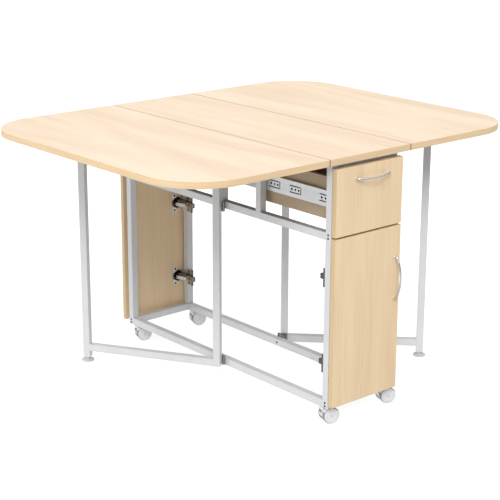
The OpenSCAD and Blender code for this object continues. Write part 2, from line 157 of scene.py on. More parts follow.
def lathe(profile, n=32, wrap=False):
    """Turns (radius, height) points about Z; a radius of 0 closes to a point."""
    rings = [
        [
            (r * math.cos(math.tau * i / n), r * math.sin(math.tau * i / n), z)
            for i in range(n)
        ]
        for r, z in profile
    ]
    return loft(rings, wrap)


def rounded(points, radius, steps=4):
    """Outline with its corners rounded; radius is one number or one a corner."""
    made = []
    for i, corner in enumerate(points):
        r = radius[i] if hasattr(radius, "__len__") else radius
        corner = Vector(corner)
        before = (Vector(points[i - 1]) - corner).normalized()
        after = (Vector(points[(i + 1) % len(points)]) - corner).normalized()
        half = before.angle(after) / 2
        if r <= 0 or abs(half - math.pi / 2) < 1e-4:
            made.append(corner)
            continue
        centre = corner + (before + after).normalized() * (r / math.sin(half))
        start = corner + before * (r / math.tan(half)) - centre
        sweep = math.pi - 2 * half
        side = -1 if before.cross(after) > 0 else 1
        for k in range(steps + 1):
            a = side * sweep * k / steps
            made.append(
                centre
                + Vector(
                    (
                        start.x * math.cos(a) - start.y * math.sin(a),
                        start.x * math.sin(a) + start.y * math.cos(a),
                    )
                )
            )
    return made


def rectangle(x0, y0, x1, y1, radius=0.0, steps=4):
    return rounded([(x0, y0), (x1, y0), (x1, y1), (x0, y1)], radius, steps)


def circle(radius, n=32, x=0.0, y=0.0):
    return [
        Vector((x + radius * math.cos(math.tau * i / n), y + radius * math.sin(math.tau * i / n)))
        for i in range(n)
    ]


def inset(outline, depth, z):
    """The outline moved inwards by depth, at height z."""
    made = []
    for i, p in enumerate(outline):
        a = (p - outline[i - 1]).normalized()
        b = (outline[(i + 1) % len(outline)] - p).normalized()
        na, nb = Vector((-a.y, a.x)), Vector((-b.y, b.x))
        move = (na + nb) * (depth / max(0.3, 1 + na.dot(nb)))
        made.append((p.x + move.x, p.y + move.y, z))
    return made


def slab(outline, z0, z1, edge=0.5, steps=2):
    """Extruded outline with its top and bottom edges rounded."""
    outline = [Vector(p) for p in outline]
    turns = [math.pi / 2 * k / steps for k in range(steps + 1)]
    rings = [
        inset(outline, edge * (1 - math.sin(a)), z0 + edge * (1 - math.cos(a)))
        for a in turns
    ]
    rings += [
        inset(outline, edge * (1 - math.sin(a)), z1 - edge * (1 - math.cos(a)))
        for a in reversed(turns)
    ]
    return loft(rings)


def block(low, high, radius=1.0, edge=0.5, steps=2, corner_steps=3):
    """Box from low to high, rounded in plan by radius and along its rims by edge."""
    plan = rectangle(low[0], low[1], high[0], high[1], radius, corner_steps)
    return slab(plan, low[2], high[2], edge, steps)


def tube(length):
    """Square tube along Z with rounded corners and eased cut ends."""
    ease = 0.3

    def ring(half, radius, z):
        outline = rectangle(-half, -half, half, half, radius, 4)
        return [(p.x, p.y, z) for p in outline]

    half, hollow = TUBE / 2, TUBE / 2 - WALL
    return loft(
        [
            ring(half - ease, TUBE_ROUND, 0),
            ring(half, TUBE_ROUND, ease),
            ring(half, TUBE_ROUND, length - ease),
            ring(half - ease, TUBE_ROUND, length),
            ring(hollow, 0.7, length),
            ring(hollow, 0.7, 0),
        ],
        wrap=True,
    )


def bar(start, end):
    start, end = Vector(start), Vector(end)
    return tube((end - start).length).by(facing(start, end - start))


def ribbon(line, thickness):
    """Outline of a strip of sheet bent along a line."""
    line = [Vector(p) for p in line]
    sides = []
    for i, p in enumerate(line):
        a = (p - line[i - 1]).normalized() if i else None
        b = (line[i + 1] - p).normalized() if i + 1 < len(line) else None
        a, b = a or b, b or a
        na, nb = Vector((-a.y, a.x)), Vector((-b.y, b.x))
        sides.append((na + nb) * (thickness / 2 / (1 + na.dot(nb))))
    right = [p - s for p, s in zip(line, sides)]
    left = [p + s for p, s in zip(line, sides)]
    return right + left[::-1]


def as_mesh(name, shape, scale=1.0):
    """A clean mesh of the shape, its normals pointing out."""
    bm = bmesh.new()
    points = [bm.verts.new(p * scale) for p in shape.points]
    for face, paint in zip(shape.faces, shape.paint):
        used = [points[i] for i in face]
        if len(set(used)) > 2 and not bm.faces.get(used):
            bm.faces.new(used).material_index = paint
    bmesh.ops.remove_doubles(bm, verts=bm.verts, dist=1e-3 * scale)
    bmesh.ops.dissolve_degenerate(bm, edges=bm.edges, dist=1e-4 * scale)
    bmesh.ops.recalc_face_normals(bm, faces=bm.faces)
    mesh = bpy.data.meshes.new(name)
    bm.to_mesh(mesh)
    bm.free()
    return mesh


def cut(shape, cutter):
    """The shape with the cutter taken out of it."""
    objects = []
    for name, part in (("work", shape), ("cutter", cutter)):
        made = bpy.data.objects.new(name, as_mesh(name, part))
        bpy.context.scene.collection.objects.link(made)
        objects.append(made)
    work, tool = objects
    change = work.modifiers.new("cut", "BOOLEAN")
    change.object, change.solver, change.use_self = tool, "EXACT", True
    bpy.context.view_layer.update()
    result = work.evaluated_get(bpy.context.evaluated_depsgraph_get()).to_mesh()
    made = Shape(
        [v.co.copy() for v in result.vertices],
        [tuple(p.vertices) for p in result.polygons],
        [p.material_index for p in result.polygons],
    )
    for leftover in objects:
        bpy.data.objects.remove(leftover)
    return made


# --------------------------------------------------------------- materials


class Nodes:
    """A new material, with short calls that add nodes to it."""

    def __init__(self, name):
        self.material = bpy.data.materials.new(name)
        self.material.use_nodes = True
        self.tree = self.material.node_tree
        self.tree.nodes.clear()
        self.place = self.add("TexCoord", out="Object")

    def add(self, kind, inputs=None, out=0, **settings):
        node = self.tree.nodes.new("ShaderNode" + kind)
        for key, value in settings.items():
            setattr(node, key, value)
        for key, value in (inputs or {}).items():
            if isinstance(value, bpy.types.NodeSocket):
                self.tree.links.new(value, node.inputs[key])
            else:
                node.inputs[key].default_value = value
        return node.outputs[out]

    def noise(self, size, detail=2.0, distortion=0.0):
        """Noise whose features are size metres long along each axis."""
        stretched = self.add(
            "Mapping", {"Vector": self.place, "Scale": [1 / s for s in size]}
        )
        return self.add(
            "TexNoise",
            {
                "Vector": stretched,
                "Scale": 1.0,
                "Detail": detail,
                "Roughness": 0.55,
                "Distortion": distortion,
            },
        )

    def ramp(self, value, low, high, to_low=0.0, to_high=1.0):
        return self.add("MapRange", {0: value, 1: low, 2: high, 3: to_low, 4: to_high})

    def maths(self, what, a, b):
        return self.add("Math", {0: a, 1: b}, operation=what)

    def mix(self, factor, a, b, how="MIX"):
        return self.add(
            "Mix", {0: factor, 6: a, 7: b}, out=2, data_type="RGBA", blend_type=how
        )

    def worn(self, low=0.515, high=0.6):
        """1 along sharp outer edges and 0 on flats."""
        return self.ramp(self.add("NewGeometry", out="Pointiness"), low, high)

    def bump(self, height, distance, strength=0.5):
        return self.add(
            "Bump", {"Height": height, "Distance": distance, "Strength": strength}
        )

    def finish(self, colour, roughness, normal, **fixed):
        inputs = {"Base Color": colour, "Roughness": roughness, "Normal": normal}
        inputs.update({key.replace("_", " "): value for key, value in fixed.items()})
        shader = self.add("BsdfPrincipled", inputs)
        self.add_output(shader)
        return self.material

    def add_output(self, shader):
        node = self.tree.nodes.new("ShaderNodeOutputMaterial")
        self.tree.links.new(shader, node.inputs["Surface"])


def rgb(red, green, blue):
    return (red, green, blue, 1.0)


def wood(name, light, dark, grain_axis, rough=0.42):
    """Maple-pattern laminate with its grain along one axis."""
    m = Nodes(name)

    def along(length, width):
        size = [width] * 3
        size["XYZ".index(grain_axis)] = length
        return size

    cloud = m.noise(along(0.55, 0.07), 3.0, 0.3)
    streak = m.noise(along(0.30, 0.0075), 4.0, 0.6)
    fine = m.noise(along(0.075, 0.0016), 3.0)
    pores = m.noise(along(0.011, 0.00045), 1.0)
    tone = m.maths("ADD", m.maths("MULTIPLY", cloud, 0.55), m.maths("MULTIPLY", streak, 0.45))
    base = m.mix(m.ramp(tone, 0.36, 0.62), rgb(*dark), rgb(*light))
    flame = m.ramp(streak, 0.58, 0.74, 0.0, 0.55)
    base = m.mix(flame, base, rgb(*[d * 0.93 for d in dark]))
    base = m.mix(m.ramp(fine, 0.35, 0.75, 0.0, 0.16), base, rgb(*[d * 0.9 for d in dark]))
    base = m.mix(m.ramp(pores, 0.62, 0.8, 0.0, 0.22), base, rgb(*[d * 0.72 for d in dark]))
    base = m.mix(m.ramp(m.worn(), 0, 1, 0.0, 0.25), base, rgb(*[min(1, c * 1.06) for c in light]))
    roughness = m.ramp(m.maths("ADD", fine, cloud), 0.7, 1.3, rough - 0.05, rough + 0.08)
    height = m.maths("SUBTRACT", m.maths("MULTIPLY", fine, 0.6), m.ramp(pores, 0.6, 0.8))
    return m.finish(base, roughness, m.bump(height, 0.00008, 0.35), Specular_IOR_Level=0.35)


def banding(name, light, dark, flat_axis):
    """Edge band with streaks round the board, across flat_axis."""
    m = Nodes(name)
    size = [0.16] * 3
    size["XYZ".index(flat_axis)] = 0.0022
    streak = m.noise(size, 4.0, 0.4)
    size["XYZ".index(flat_axis)] = 0.0006
    fine = m.noise([s * 0.3 for s in size], 2.0)
    base = m.mix(m.ramp(streak, 0.34, 0.66), rgb(*dark), rgb(*light))
    base = m.mix(m.ramp(fine, 0.55, 0.8, 0.0, 0.2), base, rgb(*[d * 0.82 for d in dark]))
    base = m.mix(m.ramp(m.worn(), 0, 1, 0.0, 0.35), base, rgb(*[d * 0.9 for d in dark]))
    roughness = m.ramp(streak, 0.3, 0.7, 0.4, 0.52)
    return m.finish(base, roughness, m.bump(fine, 0.00006, 0.4), Specular_IOR_Level=0.35)


def paint(name, colour, rough, peel, mottle=0.04, edge=1.1, specular=0.5):
    """Powder coat or moulded plastic: faint mottling, fine texture, paler edges."""
    m = Nodes(name)
    patches = m.noise([0.035] * 3, 3.0)
    specks = m.noise([0.0011] * 3, 2.0)
    dust = m.noise([0.008, 0.008, 0.02], 4.0, 0.5)
    low = rgb(*[c * (1 - mottle) for c in colour])
    high = rgb(*[min(1, c * (1 + mottle)) for c in colour])
    base = m.mix(m.ramp(patches, 0.3, 0.7), low, high)
    base = m.mix(m.ramp(specks, 0.6, 0.85, 0.0, 0.25), base, rgb(*[c * 0.86 for c in colour]))
    base = m.mix(m.ramp(m.worn(), 0, 1, 0.0, 0.6), base, rgb(*[min(1, c * edge) for c in colour]))
    roughness = m.ramp(dust, 0.3, 0.7, rough - 0.06, rough + 0.08)
    return m.finish(base, roughness, m.bump(specks, peel, 0.4), Specular_IOR_Level=specular)


def metal(name, colour, rough, brushed=(0.03, 0.0006, 0.0006), stain=0.08):
    """Plated or bare metal with fine brush lines and a little tarnish."""
    m = Nodes(name)
    lines = m.noise(brushed, 3.0)
    bloom = m.noise([0.012] * 3, 4.0, 0.8)
    base = m.mix(m.ramp(bloom, 0.35, 0.7), rgb(*[c * (1 - stain) for c in colour]), rgb(*colour))
    base = m.mix(m.ramp(lines, 0.5, 0.8, 0.0, 0.3), base, rgb(*[c * 0.84 for c in colour]))
    base = m.mix(m.ramp(m.worn(), 0, 1, 0.0, 0.5), base, rgb(*[min(1, c * 1.12) for c in colour]))
    roughness = m.ramp(m.maths("ADD", lines, bloom), 0.7, 1.3, rough - 0.06, rough + 0.1)
    return m.finish(base, roughness, m.bump(lines, 0.00003, 0.3), Metallic=1.0)


TOP_LIGHT, TOP_DARK = (0.90, 0.733, 0.57), (0.795, 0.62, 0.455)
FRONT_LIGHT, FRONT_DARK = (0.945, 0.732, 0.487), (0.81, 0.597, 0.362)
EDGE_LIGHT, EDGE_DARK = (0.79, 0.61, 0.37), (0.70, 0.52, 0.29)

TOP_WOOD = wood("top_laminate", TOP_LIGHT, TOP_DARK, "X")
TOP_EDGE = banding("top_edge_band", (0.88, 0.666, 0.425), (0.785, 0.57, 0.333), "Z")
FRONT_WOOD = wood("front_laminate", FRONT_LIGHT, FRONT_DARK, "Z")
FRONT_EDGE = banding("front_edge_band", EDGE_LIGHT, EDGE_DARK, "X")
BOX_WOOD = wood("drawer_laminate", (0.54, 0.42, 0.285), (0.46, 0.345, 0.22), "X", 0.5)
# seam rims: dark brown, painted shade standing in for the shadow in the gap between boards
SEAM_SHADE = paint("seam_painted_shade", (0.42, 0.31, 0.20), 0.8, 0.0001, 0.1)
# board undersides: darker wood, painted shade under the top, which also throws less light onto
# the frame
UNDERSIDE_SHADE = wood("underside_painted_shade", (0.40, 0.31, 0.215), (0.33, 0.25, 0.17), "X", 0.6)
CORE = paint("board_core", (0.52, 0.40, 0.26), 0.8, 0.0003, 0.12)
STEEL = paint("powder_coat", (0.705, 0.715, 0.728), 0.42, 0.00005)
# mid rails' top faces: darker grey coat, painted shade under the boards
PAINTED_SHADE_COAT = paint("powder_coat_painted_shade", (0.40, 0.405, 0.41), 0.55, 0.00005, 0.05)
WHITE = paint("white_plastic", (0.80, 0.80, 0.81), 0.42, 0.00003)
CASTER = paint("caster_plastic", (0.84, 0.84, 0.85), 0.32, 0.00002)
TREAD = paint("caster_tread", (0.30, 0.30, 0.31), 0.55, 0.00004)
GLIDE = paint("glide_plastic", (0.60, 0.61, 0.62), 0.5, 0.00003)
ZINC = metal("zinc_plate", (0.66, 0.66, 0.665), 0.36)
# hinge cups, arms and lips: near-black nickel, painted dark reflection and painted shade
NICKEL_PAINTED_DARK = metal("nickel_painted_dark_reflection", (0.14, 0.135, 0.13), 0.2)
# hinge ears and arms' lower halves: near-white, painted highlight on the plated steel
HINGE_HIGHLIGHT = paint("hinge_painted_highlight", (0.90, 0.90, 0.89), 0.3, 0.0001, 0.05)
DARK_ZINC = metal("dark_zinc", (0.34, 0.34, 0.345), 0.34)
# arms' outer side faces: lighter nickel, painted reflection
ARM_SIDE_REFLECTION = metal("arm_painted_reflection", (0.46, 0.43, 0.40), 0.25)
# slide middle members, balls and cages: near-black, painted shade inside the slides
SHADED_SLIDE_STEEL = metal("slide_middle_painted_shade", (0.06, 0.06, 0.06), 0.5)
BLACKENED = metal("blackened_screws", (0.10, 0.10, 0.11), 0.42)
SATIN = metal("satin_chrome", (0.78, 0.76, 0.73), 0.26, (0.0006, 0.02, 0.0006))


# ------------------------------------------------------------------- pieces


def piece(name, shape, body, slot, materials, *nodes, sharp=38):
    """Makes one piece of the table, riding on a body, that stands for CAD nodes."""
    mesh = as_mesh(name, shape, MM)
    for material in materials:
        mesh.materials.append(material)
    mesh.shade_smooth()
    mesh.set_sharp_from_angle(angle=math.radians(sharp))
    made = bpy.data.objects.new(name, mesh)
    bpy.context.scene.collection.objects.link(made)
    weighted = made.modifiers.new("weighted", "WEIGHTED_NORMAL")
    weighted.keep_sharp = True
    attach(made, body)
    if nodes:
        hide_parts(*nodes)
    return made


def keep(node, material, bevel=0.4):
    """Shows a CAD node as it is, with eased edges and a procedural material."""
    shown = frame["nodes"][node]
    if not shown.material_slots:
        shown.data.materials.append(material)
    for slot in shown.material_slots:
        slot.material = material
    weld = shown.modifiers.new("weld", "WELD")
    weld.merge_threshold = 1e-6
    eased = shown.modifiers.new("eased", "BEVEL")
    eased.width, eased.segments = bevel * MM, 2
    eased.limit_method, eased.angle_limit = "ANGLE", math.radians(40)
    eased.harden_normals = True


def cross_recess(radius, depth, top):
    """Cutter for a cross drive, let into a head whose top is at that height."""
    arm, width = radius * 0.62, radius * 0.2
    bars = block((-arm, -width, top - depth), (arm, width, top + 1), 0.05, 0.02, 1, 1)
    return bars + bars.turned(90)


def pan_head(radius, height):
    profile = [(0, 0), (radius, 0), (radius, height * 0.3)]
    for k in range(1, 5):
        a = math.pi / 2 * k / 5
        profile.append((radius * math.cos(a) ** 0.8, height * (0.3 + 0.7 * math.sin(a))))
    profile += [(radius * 0.2, height), (0, height)]
    return cut(lathe(profile, 20), cross_recess(radius, height * 0.55, height))


FRAME_SCREW = pan_head(3.0, 1.5)
PLATE_SCREW = pan_head(2.9, 1.0)
HINGE_SCREW = pan_head(3.7, 1.3)


# ------------------------------------------------------------------ the top

HINGE_LOW, HINGE_HIGH = box("leaf_hinge_front")
HINGE_L, HINGE_Y, HINGE_T, KNUCKLE = 60.0, 30.0, 1.6, 2.9
HINGE_X = [HINGE_LOW.x + HINGE_L / 2, 0.0, HINGE_HIGH.x - HINGE_L / 2]


def hinge_recess():
    """Cutters for the hinge plates and barrels along the +Y seam."""
    slack = 0.5
    half, radius, made = HINGE_L / 2 + slack, KNUCKLE + slack, []
    for x in HINGE_X:
        barrel = lathe([(0, 0), (radius, 0), (radius, 2 * half), (0, 2 * half)], 24)
        made.append(barrel.turned(90, "Y").at(x - half, SEAM_Y, UNDER_Z))
        for y in (-1, 1):
            edge = sorted((SEAM_Y, SEAM_Y + y * (HINGE_Y + slack)))
            made.append(
                block(
                    (x - half, edge[0], UNDER_Z - 1),
                    (x + half, edge[1], UNDER_Z + HINGE_T + 0.05),
                    0.1, 0.02, 1, 1,
                )
            )
    return total(made)


# materials of a board, in the order that its piece lists them
FACE, RIM, INSIDE, SEAMED, UNDERSIDE = range(5)


def board(outline, z0, z1, edge=0.8):
    """Laminated board with a banded rim; its last two faces are bottom and top."""
    made = slab(outline, z0, z1, edge, 3)
    made.paint = [RIM] * (len(made.faces) - 2) + [FACE, FACE]
    return made


def seam_edges(shape, at_y):
    """Paints shade on a board's rim along a seam, as a dark line, and paints its underside darker
    as shade under the top.
    """
    near = 1.2
    # the underside takes the darker wood of painted shade
    shape.paint[-2] = UNDERSIDE
    for index, face in enumerate(shape.faces):
        spots = [shape.points[i] for i in face]
        if shape.paint[index] == RIM and all(abs(p.y - at_y) < near for p in spots):
            # rim faces along the seam take the dark brown of painted shade
            shape.paint[index] = SEAMED
    return shape


def carved(shape, cutters):
    """Cuts the recesses, whose walls show the core of the board."""
    return cut(shape, cutters.painted(INSIDE))


TOP_MATERIALS = [TOP_WOOD, TOP_EDGE, CORE, SEAM_SHADE, UNDERSIDE_SHADE]
recesses = hinge_recess()
top = board(
    rectangle(TOP_LOW.x, TOP_LOW.y, TOP_HIGH.x, TOP_HIGH.y, 1.0, 2), TOP_LOW.z, TOP_HIGH.z
)
top = seam_edges(seam_edges(top, TOP_LOW.y), TOP_HIGH.y)
piece(
    "top_centre_board",
    carved(top, both_sides(recesses)),
    "frame", "top_board", TOP_MATERIALS, "top_centre",
)
LEAF_LOW, LEAF_HIGH = box("leaf_back")
LEAF_ROUND = 160.0
leaf = board(
    rounded(
        [
            (LEAF_LOW.x, LEAF_LOW.y), (LEAF_HIGH.x, LEAF_LOW.y),
            (LEAF_HIGH.x, LEAF_HIGH.y), (LEAF_LOW.x, LEAF_HIGH.y),
        ],
        [1.0, 1.0, LEAF_ROUND, LEAF_ROUND],
        28,
    ),
    LEAF_LOW.z, LEAF_HIGH.z,
)
leaf = carved(seam_edges(leaf, LEAF_LOW.y), recesses)
for side, shape in (("back", leaf), ("front", leaf.mirrored((0, 1, 0)))):
    piece(
        f"leaf_{side}_board",
        shape,
        f"leaf_{side}", "top_board", TOP_MATERIALS, f"leaf_{side}",
    )


def rod(radius, length, bore=0.0, ease=0.3, n=24):
    """Round bar or sleeve along Z from 0, with eased ends."""
    outer = [(radius - ease, 0), (radius, ease), (radius, length - ease), (radius - ease, length)]
    if bore:
        return lathe(outer + [(bore, length), (bore, 0)], n, wrap=True)
    return lathe([(0, 0)] + outer + [(0, length)], n)


def leaf_hinge_half(outward, knuckles):
    """Half of one hinge at x = 0: outward is 1 for the leaf's half."""
    near, far = sorted((outward * (KNUCKLE + 0.4), outward * HINGE_Y))
    made = block(
        (-HINGE_L / 2, near, 0), (HINGE_L / 2, far, HINGE_T), 2.5, 0.25, 2, 4
    )
    for x0, x1 in knuckles:
        made += rod(KNUCKLE, x1 - x0, 1.32).turned(90, "Y").at(x0, 0, 0)
        strap = sorted((outward * 1.4, outward * HINGE_Y / 2))
        made += block((x0, strap[0], 0.05), (x1, strap[1], HINGE_T - 0.05), 0.1, 0.1, 1, 1)
    for x, y in ((-22, 22), (22, 22), (0, 14)):
        made += PLATE_SCREW.turned(37).mirrored((0, 0, 1)).at(x, outward * y, 0.35)
    return made


third = HINGE_L / 6
fixed_half = leaf_hinge_half(-1, [(-3 * third, -third - 0.2), (third + 0.2, 3 * third)])
fixed_half += rod(1.25, HINGE_L).turned(90, "Y").at(-HINGE_L / 2, 0, 0)
leaf_half = leaf_hinge_half(1, [(-third + 0.2, third - 0.2)])
fixed_row = total(fixed_half.at(x, SEAM_Y, UNDER_Z) for x in HINGE_X)
leaf_row = total(leaf_half.at(x, SEAM_Y, UNDER_Z) for x in HINGE_X)
piece("leaf_hinges_fixed", both_sides(fixed_row), "frame", "zinc", [ZINC], "leaf_hinge_fixed")
piece("leaf_hinges_back", leaf_row, "leaf_back", "zinc", [ZINC], "leaf_hinge_back")
piece(
    "leaf_hinges_front",
    leaf_row.mirrored((0, 1, 0)),
    "leaf_front", "zinc", [ZINC], "leaf_hinge_front",
)


# ---------------------------------------------------------------- the frame

posts = corners(bar((POST_X, POST_Y, LOWER_Z), (POST_X, POST_Y, UNDER_Z)))
side_rails = total(
    both_sides(bar((-INNER_X, POST_Y, z + TUBE / 2), (INNER_X, POST_Y, z + TUBE / 2)))
    for z in (LOWER_Z, MID_Z)
)
end_rails = total(
    both_ends(bar((POST_X, -INNER_Y, z + TUBE / 2), (POST_X, INNER_Y, z + TUBE / 2)))
    for z in (LOWER_Z, MID_Z, UNDER_Z - TUBE)
)
# the tops of the side rails at mid height are painted darker: painted shade, standing in for the
# boards' shade over them
for index, face in enumerate(side_rails.faces):
    if min(side_rails.points[i].z for i in face) > MID_Z + TUBE - 0.6:
        side_rails.paint[index] = 1
short_post = bar((0, POST_Y, MID_Z + TUBE), (0, POST_Y, UNDER_Z))
for name, shape, node in (
    ("corner_post_tubes", posts, "corner_posts"),
    ("side_rail_tubes", side_rails, "side_rails"),
    ("end_rail_tubes", end_rails, "end_rails"),
    ("drawer_post_tubes", corners(short_post.at(DRAWER_POST_X, 0, 0)), "drawer_posts"),
    ("centre_post_tubes", both_sides(short_post), "centre_posts"),
):
    piece(name, shape, "frame", "frame_steel", [STEEL, PAINTED_SHADE_COAT], node)

SCREW_PITCH = 9.4
screws = Shape()
for k, z in enumerate((LOWER_Z, MID_Z)):
    for s in (-SCREW_PITCH / 2, SCREW_PITCH / 2):
        spot = (POST_X, POST_HIGH.y, z + TUBE / 2 + s)
        screws += corners(FRAME_SCREW.turned(20 * k).by(facing(spot, (0, 1, 0))))
screws += total(
    both_sides(FRAME_SCREW.by(facing((0, INNER_Y, z + TUBE / 2), (0, -1, 0))))
    for z in (LOWER_Z, MID_Z)
)
piece("frame_screw_heads", screws, "frame", "zinc", [BLACKENED], "frame_screws")
keep("post_plugs", WHITE, 0.6)
keep("caster_sockets", WHITE, 0.5)


# ---------------------------------------------------------------- the gates

GATE_U, GATE_HINGE_H, GATE_KNUCKLE, GATE_PIN = 4.5, 27.0, 4.2, 2.5
GATE_GAP = 1.4
PLATE_T = 1.3


def gate_frame(side):
    """Matrix from the closed gate's own axes, and its length and offset."""
    pivot, foot = joint_place(f"gate_{side}_swing"), joint_place(f"glide_{side}_turn")
    arm = (foot - pivot).to_2d()
    across = GATE_GAP + TUBE / 2
    reach = math.sqrt(arm.length_squared - across**2)
    angle = math.atan2(arm.y, arm.x) - math.atan2(across, reach)
    place = Matrix.Translation((pivot.x, pivot.y, 0)) @ Matrix.Rotation(angle, 4, "Z")
    return place, reach, across


def fillet(width, size=1.6):
    """Weld bead along Y, filling the corner between the planes x = 0 and z = 0."""
    arc = [
        (size * (1 - math.sin(math.pi / 2 * k / 4)), size * (1 - math.cos(math.pi / 2 * k / 4)))
        for k in range(5)
    ]
    outline = [(-0.4, -0.4), (size, -0.4)] + arc + [(-0.4, size)]
    return loft([[(x, y, z) for x, z in outline] for y in (-width / 2, width / 2)])


def gate_hinge_plate(width):
    plate = block((0, 0, 0), (width, GATE_HINGE_H, PLATE_T), 2.0, 0.25, 2, 4)
    return plate.turned(90, "X").at(0, PLATE_T, 0)


for side in ("front", "back"):
    gate = f"gate_{side}"
    place, reach, across = gate_frame(side)
    low, high = box(f"{gate}_posts")
    rail_z = box(f"{gate}_rails")[0].z
    inner_u = GATE_U + TUBE / 2
    tubes = bar((inner_u, across, rail_z), (inner_u, across, high.z))
    tubes += bar((reach, across, low.z), (reach, across, high.z))
    rails = Shape()
    for z in (rail_z, high.z - TUBE):
        u0, u1 = inner_u + TUBE / 2, reach - TUBE / 2
        rails += bar((u0, across, z + TUBE / 2), (u1, across, z + TUBE / 2))
        for u, flip in ((u0, 1), (u1, -1)):
            for edge, up in ((z + TUBE, 1), (z, -1)):
                bead = fillet(TUBE - 3)
                if flip < 0:
                    bead = bead.mirrored((1, 0, 0))
                if up < 0:
                    bead = bead.mirrored((0, 0, 1))
                if edge < high.z - 1 and edge > rail_z + 1:
                    rails += bead.at(u, across, edge)
    piece(f"{gate}_post_tubes", tubes.by(place), gate, "frame_steel", [STEEL], f"{gate}_posts")
    piece(f"{gate}_rail_tubes", rails.by(place), gate, "frame_steel", [STEEL], f"{gate}_rails")
    keep(f"{gate}_plugs", WHITE, 0.5)

    part = GATE_HINGE_H / 3
    moving, fixed = Shape(), Shape()
    hinge_low, hinge_high = box(f"{gate}_hinge")
    for z in (hinge_low.z, hinge_high.z - GATE_HINGE_H):
        z0, z1 = z + part + 0.3, z + 2 * part - 0.3
        moving += rod(GATE_KNUCKLE, part - 0.6, GATE_PIN + 0.06).at(0, 0, z0)
        moving += block((0.5, 0.05, z0), (GATE_U + 3, PLATE_T - 0.05, z1), 0.1, 0.1, 1, 1)
        moving += gate_hinge_plate(TUBE).at(GATE_U, 0, z)
        for k in (0, 2):
            fixed += rod(GATE_KNUCKLE, part, GATE_PIN + 0.06).at(0, 0, z + k * part)
        fixed += rod(GATE_PIN, GATE_HINGE_H).at(0, 0, z)
        fixed += rod(GATE_PIN + 0.9, 1.0, n=20).at(0, 0, z + GATE_HINGE_H - 0.1)
    piece(f"{gate}_hinge_leaves", moving.by(place), gate, "zinc", [DARK_ZINC], f"{gate}_hinge")

    # the fixed halves stand square to the frame, so they aren't turned with the gate
    pivot = joint_place(f"{gate}_swing")
    gap = abs(pivot.y) - POST_HIGH.y
    wings = Shape()
    for z in (hinge_low.z, hinge_high.z - GATE_HINGE_H):
        wings += gate_hinge_plate(GATE_U + TUBE).at(0, -gap, z)
        for k in (0, 2):
            z0, z1 = z + k * part, z + (k + 1) * part
            wings += block((-2.1, -gap, z0), (2.1, -gap + 3, z1), 0.2, 0.2, 1, 1)
        for up in (6, GATE_HINGE_H - 6):
            wings += PLATE_SCREW.by(facing((16, PLATE_T - gap, z + up), (0, 1, 0)))
    turn = HALF_TURN if side == "front" else Matrix.Identity(4)
    both = (wings + fixed).by(Matrix.Translation((pivot.x, pivot.y, 0)) @ turn)
    made = piece(f"{gate}_hinge_fixed_half", both, "frame", "zinc", [DARK_ZINC])
    if side == "front":
        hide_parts("gate_hinge_fixed")

    foot_low, foot_high = box(f"glide_{side}")
    centre = joint_place(f"glide_{side}_turn")
    radius = (foot_high.x - foot_low.x) / 2
    foot = lathe(
        [
            (0, 0), (radius - 2.2, 0), (radius - 0.9, 0.3), (radius - 0.1, 1.1), (radius, 1.9),
            (radius - 0.1, 3.1), (radius - 0.9, 4.0), (radius - 2.2, 4.6), (11, 5.5), (9, 6.3),
            (7.8, 7.4), (7.2, 8.4), (0, 8.4),
        ],
        48,
    ).painted(0)
    nut_top, pitch = 12.0, 0.8
    nut = slab(rounded(circle(7.4, 6), 0.6, 2), 8.4, nut_top, 0.5, 2).painted(1)
    end = foot_high.z - foot_low.z
    thread = [(0, nut_top), (3.6, nut_top)]
    z = nut_top
    while z < end - 1.5:
        thread += [(3.95, z + 0.35), (3.5, z + pitch)]
        z += pitch
    thread += [(3.2, end - 0.2), (0, end)]
    stem = lathe(thread, 20).painted(1)
    piece(
        f"glide_{side}_foot",
        (foot + nut + stem).at(centre.x, centre.y, foot_low.z),
        f"glide_{side}", "glide_grey", [GLIDE, ZINC], f"glide_{side}",
    )


# --------------------------------------------------------------- the drawers

SLIDE_LOW, SLIDE_HIGH = box("slide_outer")
SLIDE_END = SLIDE_HIGH.x
SLIDE_START = box("slide_right_middle")[0].x - 2
SLIDE_MID = (SLIDE_LOW.z + SLIDE_HIGH.z) / 2
SHEET = 1.2
WINDOW_X, WINDOW_L, WINDOW_Z, SLOT = (184.0, 268.0, 385.0), 46.0, 9.0, 3.0
WINDOW_HOLES = ((9, 3.8), (23, 3.3), (36, 3.3))
RUNNER_LOW, RUNNER_HIGH = box("drawer_right_runners")
DRAWER_Y = box("drawer_right_sides")[1].y


def slide_channel(x0, x1, half, depth, lip):
    """C section along X: its web lies on y = 0 and it opens towards -Y."""
    h = half - SHEET / 2
    line = [
        (-depth + 0.7, -h + lip), (-depth + 0.6, -h + 1.2), (-depth + 1.6, -h), (-1.7, -h),
        (-0.9, -h + 0.3), (-0.6, -h + 1.1), (-0.6, h - 1.1), (-0.9, h - 0.3), (-1.7, h),
        (-depth + 1.6, h), (-depth + 0.6, h - 1.2), (-depth + 0.7, h - lip),
    ]
    outline = ribbon(line, SHEET)
    return loft([[(x, p.x, p.y) for p in outline] for x in (x0, x1)])


def slide_windows():
    """Cutters for the slots and holes punched in the outer member's web."""
    plans, half = [], SLOT / 2
    for x in WINDOW_X:
        end = x + WINDOW_L
        for z in (-WINDOW_Z, WINDOW_Z):
            plans.append(rectangle(x, z - half, end - 4.2, z + half, 0.9, 2))
        plans.append(rectangle(end - SLOT, -WINDOW_Z - half, end, WINDOW_Z + half, 0.9, 2))
        plans += [circle(radius, 20, x + along, 0) for along, radius in WINDOW_HOLES]
    return total(loft([[(p.x, y, p.y) for p in plan] for y in (-4, 3)]) for plan in plans)


